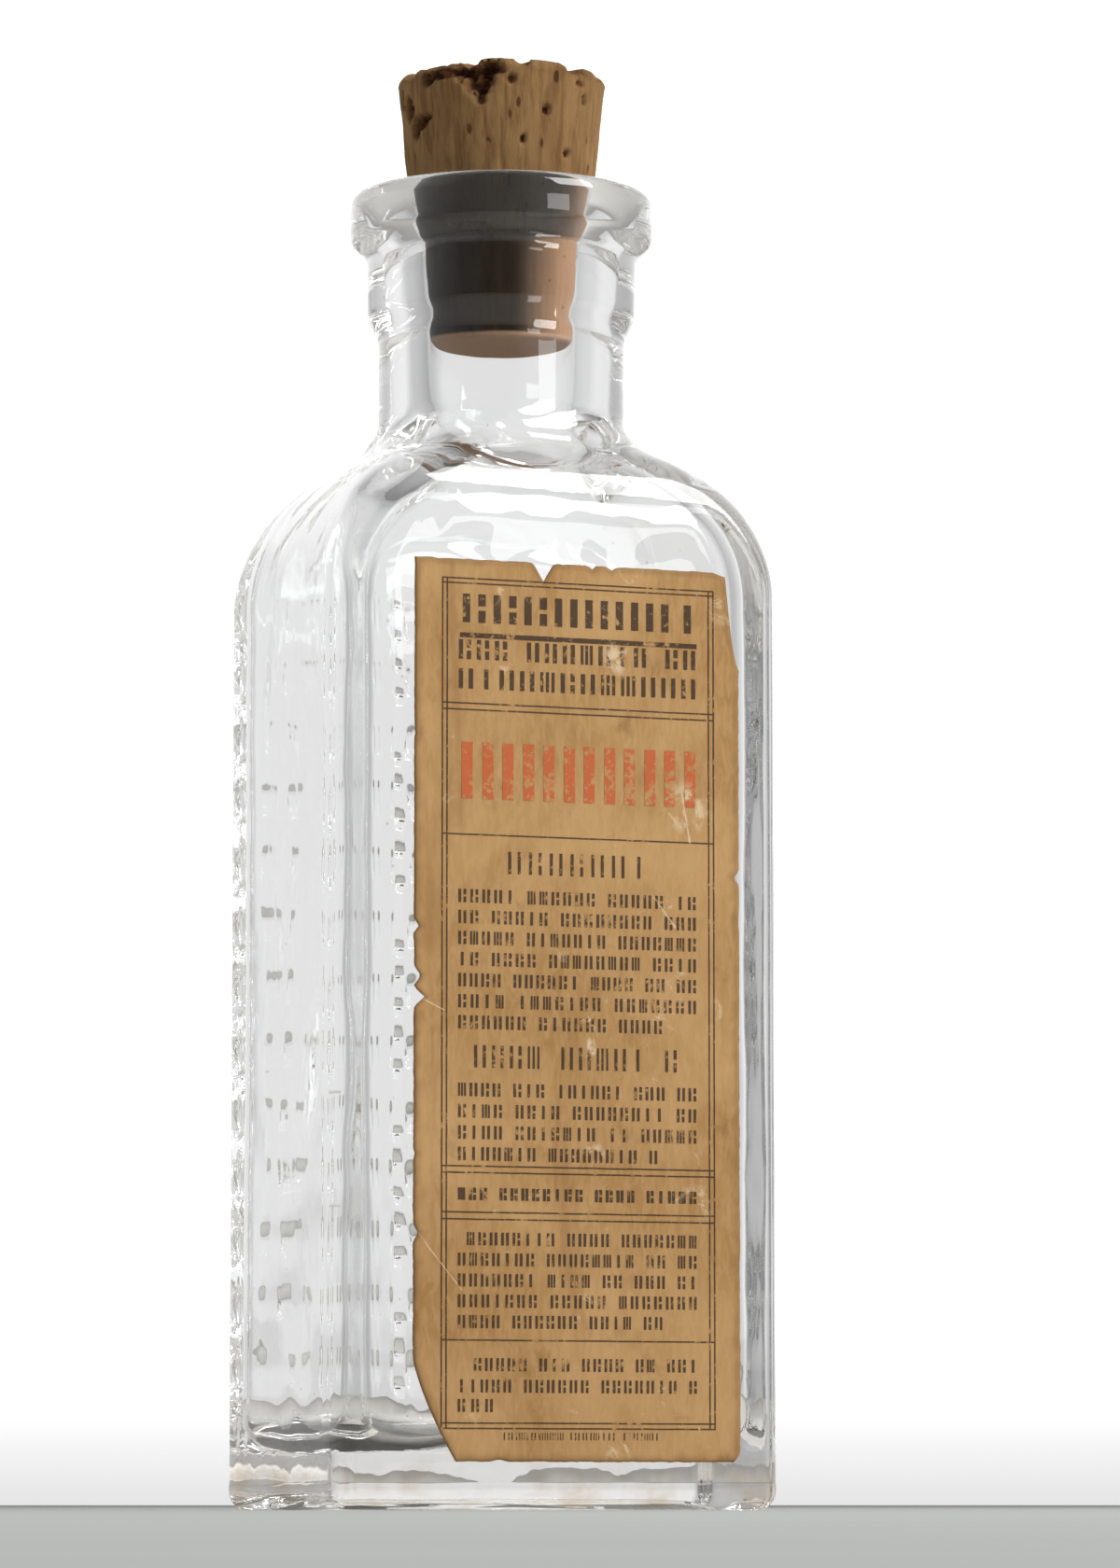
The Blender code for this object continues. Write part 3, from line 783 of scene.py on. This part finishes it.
# how far forward the paper's front lies at one place, in mm
def paperFront(x, z):
    ripple = paper["ripple"] * (wave((x, 0, z), 4.0, 21) + 0.6 * wave((x, 0, z), 1.2, 22))
    lift = ramp(x, paperRight - 3.0, paperRight) * ramp(z, 82.0, 88.0)
    lift += 0.6 * ramp(-x, 13.2, 15.0) * ramp(z, 44.0, 48.0)
    lift *= ramp(z, 51.0, 49.0) if z < 60 else 1.0
    return labelLow.y / mm + 0.03 - ripple - paper["curl"] * 0.4 * lift


# brown kraft paper with fibres, stains and pale rubbed patches, shared by the paper and the print
def paperTones():
    group = bpy.data.node_groups.new("aged kraft paper", "ShaderNodeTree")
    socket(group, "Vector", "NodeSocketVector", "INPUT")
    socket(group, "Color", "NodeSocketColor", "OUTPUT")
    socket(group, "Rubbed", "NodeSocketFloat", "OUTPUT")
    start, end = group.nodes.new("NodeGroupInput"), group.nodes.new("NodeGroupOutput")
    vector = start.outputs["Vector"]
    broad = cloud(group, vector, 55.0, 4.0, 0.55, 0.5)
    blotch = cloud(group, vector, 260.0, 4.0, 0.6, 0.4)
    fibre = cloud(group, stretched(group, vector, (1.0, 1.0, 0.28)), 1500.0, 3.0, 0.6, 0.8)
    colour = blend(group, remap(group, broad, 0.34, 0.66), *paper["tones"])
    colour = blend(group, remap(group, blotch, 0.55, 0.78, 0.0, 0.55), colour, paper["blotch"])
    colour = blend(group, remap(group, fibre, 0.36, 0.64, 0.0, 0.35), colour, paper["fibre"])
    streak = cloud(group, stretched(group, vector, (1.0, 1.0, 0.13)), 210.0, 3.0, 0.6, 0.5)
    colour = blend(group, remap(group, streak, 0.58, 0.76, 0.0, 0.5), colour, paper["streak"])
    rub = cloud(group, vector, 330.0, 6.0, 0.72, 0.9)
    where = cloud(group, vector, 75.0, 2.0, 0.5)
    rubbed = calc(group, "MULTIPLY", remap(group, rub, 0.60, 0.70), remap(group, where, 0.52, 0.62))
    for first, last, width in creases:
        rubbed = calc(group, "MAXIMUM", rubbed, crease(group, vector, first, last, width))
    for middle, radius in rubs:
        near = node(group, "VectorMath", operation="DISTANCE")
        link(group, vector, near.inputs[0])
        near.inputs[1].default_value = (middle[0] * mm, labelLow.y, middle[1] * mm)
        spot = remap(group, near.outputs["Value"], radius * mm, 0.3 * radius * mm)
        rubbed = calc(group, "MAXIMUM", rubbed, calc(group, "MULTIPLY", spot, remap(group, rub, 0.50, 0.60)))
    colour = blend(group, calc(group, "MULTIPLY", rubbed, 0.75), colour, paper["rubbed"])
    link(group, colour, end.inputs["Color"])
    link(group, rubbed, end.inputs["Rubbed"])
    return group


# start, end and width of each crease, as (x, z) on the front face
creases = [((-15.2, 48.0), (-12.0, 46.5), 0.16), ((-14.9, 26.2), (-13.4, 24.2), 0.16),
           ((-13.4, 24.2), (-10.2, 20.4), 0.14), ((9.2, 57.8), (11.4, 55.0), 0.3),
           ((12.0, 68.4), (12.9, 63.2), 0.26)]
# middle and radius of each rubbed patch
rubs = [((12.6, 66.5), 3.2), ((9.6, 56.4), 2.6), ((5.4, 80.4), 2.0), ((13.4, 28.8), 2.2),
        ((16.8, 86.0), 2.6), ((3.0, 33.2), 1.6)]


def stretched(tree, vector, scale):
    mapping = node(tree, "Mapping")
    mapping.inputs["Scale"].default_value = scale
    link(tree, vector, mapping.inputs["Vector"])
    return mapping.outputs[0]


# a mask along one line on the front face, softly broken by noise
def crease(tree, vector, first, last, width):
    base = Vector((first[0], 0, first[1])) * mm
    along = Vector((last[0], 0, last[1])) * mm - base
    flat = node(tree, "VectorMath", operation="MULTIPLY")
    link(tree, vector, flat.inputs[0])
    flat.inputs[1].default_value = (1, 0, 1)
    offset = node(tree, "VectorMath", operation="SUBTRACT")
    link(tree, flat.outputs[0], offset.inputs[0])
    offset.inputs[1].default_value = base
    reach = node(tree, "VectorMath", operation="DOT_PRODUCT")
    link(tree, offset.outputs[0], reach.inputs[0])
    reach.inputs[1].default_value = along / along.length_squared
    part = calc(tree, "MAXIMUM", calc(tree, "MINIMUM", reach.outputs["Value"], 1.0), 0.0)
    scaled = node(tree, "VectorMath", operation="SCALE")
    scaled.inputs[0].default_value = along
    link(tree, part, scaled.inputs["Scale"])
    away = node(tree, "VectorMath", operation="DISTANCE")
    link(tree, offset.outputs[0], away.inputs[0])
    link(tree, scaled.outputs[0], away.inputs[1])
    uneven = calc(tree, "MULTIPLY", cloud(tree, vector, 900.0, 2.0), width * 1.1 * mm)
    return remap(tree, calc(tree, "ADD", away.outputs["Value"], uneven), width * 1.1 * mm, width * 0.5 * mm)


tones = paperTones()


def addTones(tree):
    made = tree.nodes.new("ShaderNodeGroup")
    made.node_tree = tones
    link(tree, placed(tree), made.inputs["Vector"])
    return made


def paperMaterial():
    material, tree, shader = newMaterial("aged_paper")
    tone = addTones(tree)
    edge = node(tree, "Attribute", attribute_name="edge")
    dirty = calc(tree, "MULTIPLY", edge.outputs["Fac"], 0.55)
    colour = blend(tree, dirty, tone.outputs["Color"], paper["edge"])
    link(tree, colour, shader.inputs["Base Color"])
    shader.inputs["Roughness"].default_value = 0.8
    shader.inputs["Specular IOR Level"].default_value = 0.25
    bump = node(tree, "Bump")
    bump.inputs["Strength"].default_value = 0.35
    bump.inputs["Distance"].default_value = 0.05 * mm
    link(tree, cloud(tree, placed(tree, (1.0, 1.0, 0.4)), 1300.0, 4.0), bump.inputs["Height"])
    link(tree, bump.outputs[0], shader.inputs["Normal"])
    return material


def makePaper():
    columns = round((paperRight - paperLeft) / paper["cell"])
    rows = round((paperTop - paperBottom) / paper["cell"])
    bm = bmesh.new()
    upright = Matrix.Rotation(radians(90), 4, "X")
    bmesh.ops.create_grid(bm, x_segments=columns, y_segments=rows, size=0.5, matrix=upright)
    edges = []
    for vert in bm.verts:
        across, up = vert.co.x + 0.5, vert.co.z + 0.5
        flatX = paperLeft + (paperRight - paperLeft) * across
        flatZ = paperBottom + (paperTop - paperBottom) * up
        low, high = paperBottom + tornIn("bottom", flatX), paperTop - tornIn("top", flatX)
        left, right = paperLeft + tornIn("left", flatZ), paperRight - tornIn("right", flatZ)
        x, z = left + (right - left) * across, low + (high - low) * up
        vert.co = (x * mm, paperFront(x, z) * mm, z * mm)
        near = min(x - left, right - x, z - low, high - z)
        edges.append(ramp(0.9 - near + 0.35 * wave((x, 0, z), 1.1, 24), 0.0, 0.9))
    front = len(bm.verts)
    bmesh.ops.solidify(bm, geom=bm.faces[:], thickness=paper["thickness"] * mm)
    bmesh.ops.recalc_face_normals(bm, faces=bm.faces)
    piece = finish("label_sheet", bm, paperMaterial(), "bottle", "paper_label")
    edge = piece.data.attributes.new("edge", "FLOAT", "POINT")
    edge.data.foreach_set("value", edges + [1.0] * (len(piece.data.vertices) - front))


makePaper()


# the print, in plain strokes that spell nothing

ink = {
    "height": 0.03, "rule": 0.13, "small": 1.25, "smallWeight": 0.21,
    "left": -10.6, "right": 13.5, "frame": (-12.3, 15.4), "uprights": (-12.3, -11.83, 14.8, 15.3),
    "frameHeights": (7.5, 87.3),
    "rules": (87.3, 86.85, 75.45, 74.85, 63.05, 31.9, 31.3, 27.6, 26.95, 15.7, 8.0, 7.5),
    "blocks": 6, "blockPitch": 4.12, "blockHeight": 5.35, "blockStroke": 1.1,
    "dark": (0.030, 0.016, 0.009), "orange": (0.52, 0.105, 0.030),
}


# a flat stroke from its lower left corner, laid on the paper
def addStroke(bm, x, z, width, height, step=1.2):
    across, up = max(1, round(width / step)), max(1, round(height / step))
    spot = Matrix.Translation((x + 0.5 * width, 0, z + 0.5 * height))
    shape = spot @ Matrix.Rotation(radians(90), 4, "X") @ Matrix.Diagonal((width, height, 1, 1))
    made = bmesh.ops.create_grid(bm, x_segments=across, y_segments=up, size=0.5, matrix=shape)
    for vert in made["verts"]:
        wobble = 0.02 * wave((vert.co.x, 0, vert.co.z), 0.3, 31)
        place = (vert.co.x + wobble, paperFront(vert.co.x, vert.co.z) - ink["height"], vert.co.z + wobble)
        vert.co = Vector(place) * mm


# one sign of a line: a few upright strokes side by side
def addSign(bm, x, z, width, height, weight):
    kind = random.random()
    stroke = weight * height
    if kind < 0.45:
        addStroke(bm, x, z, stroke, height)
        addStroke(bm, x + width - stroke, z, stroke, height)
    elif kind < 0.70:
        addStroke(bm, x, z, stroke, height)
        addStroke(bm, x + width - stroke, z, stroke, 0.42 * height)
        addStroke(bm, x + width - stroke, z + 0.58 * height, stroke, 0.42 * height)
    elif kind < 0.85:
        addStroke(bm, x + 0.5 * (width - stroke), z, stroke, height)
    else:
        for part in (0.0, 0.5, 1.0):
            addStroke(bm, x + part * (width - 0.7 * stroke), z, 0.7 * stroke, height)


# a line of signs in groups, set out to fill from left to right
def addLine(bm, z, height, left, right, weight=0.2, width=0.62, firstGroup=None):
    sign, gap, space = width * height, 0.30 * height, 0.75 * height
    places, x, count = [], 0.0, firstGroup or random.randint(2, 8)
    while True:
        if count == 0:
            x += space
            count = random.randint(2, 8)
        if x + sign > right - left:
            break
        places.append(x)
        x += sign + gap
        count -= 1
    stretch = (right - left - sign) / places[-1]
    for place in places:
        addSign(bm, left + place * stretch, z, sign, height, weight)


def addRule(bm, z, left, right, width):
    addStroke(bm, left, z, right - left, width)


def addUpright(bm, x, low, high):
    addStroke(bm, x, low, ink["rule"], high - low)


# the frame, the rules and the rows of signs, from the top down
def printedLines():
    bm = bmesh.new()
    left, right, small, weight = ink["left"], ink["right"], ink["small"], ink["smallWeight"]
    for x in ink["uprights"]:
        addUpright(bm, x, *ink["frameHeights"])
    for z in ink["rules"]:
        addRule(bm, z, *ink["frame"], ink["rule"])
    addRule(bm, 81.75, -10.5, 13.65, 0.45)
    addLine(bm, 83.2, 2.7, -10.2, 13.85, 0.27, 0.85, 40)
    addLine(bm, 79.7, 1.85, left, right, 0.22, 0.66, 3)
    addLine(bm, 76.9, 1.9, left, right, 0.22, 0.75, 40)
    addLine(bm, 59.5, 2.1, -5.6, 8.3, 0.14, 0.60, 40)
    for i in range(7):
        addLine(bm, 56.7 - 1.98 * i, small, left, 10.0 if i == 6 else right, weight)
    addLine(bm, 41.2, 2.1, -9.0, 11.5, 0.14, 0.55, 4)
    for i in range(4):
        addLine(bm, 38.5 - 2.0 * i, small, left, 9.5 if i == 3 else right, weight)
    addLine(bm, 28.8, 1.15, left, right, 0.26)
    for i in range(5):
        addLine(bm, 24.6 - 1.93 * i, 1.2, left + (0.9 if i == 0 else 0.0), 10.0 if i == 4 else right, weight)
    addLine(bm, 12.9, 1.2, -9.0, right, weight)
    addLine(bm, 10.9, 1.2, left, right, weight)
    addLine(bm, 9.1, 1.2, left, -7.1, weight)
    addLine(bm, 6.5, 0.7, -6.0, 9.5, 0.16, 0.8)
    return bm


# one row of large worn blocks, in pairs
def bigBlocks():
    bm = bmesh.new()
    stroke = ink["blockStroke"]
    for i in range(ink["blocks"]):
        left = -10.3 + ink["blockPitch"] * i
        addStroke(bm, left, 66.5, stroke, ink["blockHeight"], 0.6)
        addStroke(bm, left + 2.1, 66.5, stroke, ink["blockHeight"], 0.6)
    return bm


def inkMaterial(name, colour, wear):
    material, tree, shader = newMaterial(name)
    tone = addTones(tree)
    patchy = cloud(tree, placed(tree), 1700.0, 4.0, 0.65)
    large = cloud(tree, placed(tree), 240.0, 3.0, 0.6)
    gone = remap(tree, calc(tree, "ADD", patchy, calc(tree, "MULTIPLY", large, 0.6)), wear, wear + 0.16)
    gone = calc(tree, "MAXIMUM", gone, tone.outputs["Rubbed"])
    inked = blend(tree, 0.9, tone.outputs["Color"], colour)
    link(tree, blend(tree, gone, inked, tone.outputs["Color"]), shader.inputs["Base Color"])
    shader.inputs["Roughness"].default_value = 0.7
    shader.inputs["Specular IOR Level"].default_value = 0.25
    return material


random.seed(12)
darkInk = inkMaterial("print_ink_dark", ink["dark"], 0.86)
darkPrint = finish("print_dark", printedLines(), darkInk, "bottle")
orangeInk = inkMaterial("print_ink_orange", ink["orange"], 0.80)
orangePrint = finish("print_orange", bigBlocks(), orangeInk, "bottle")
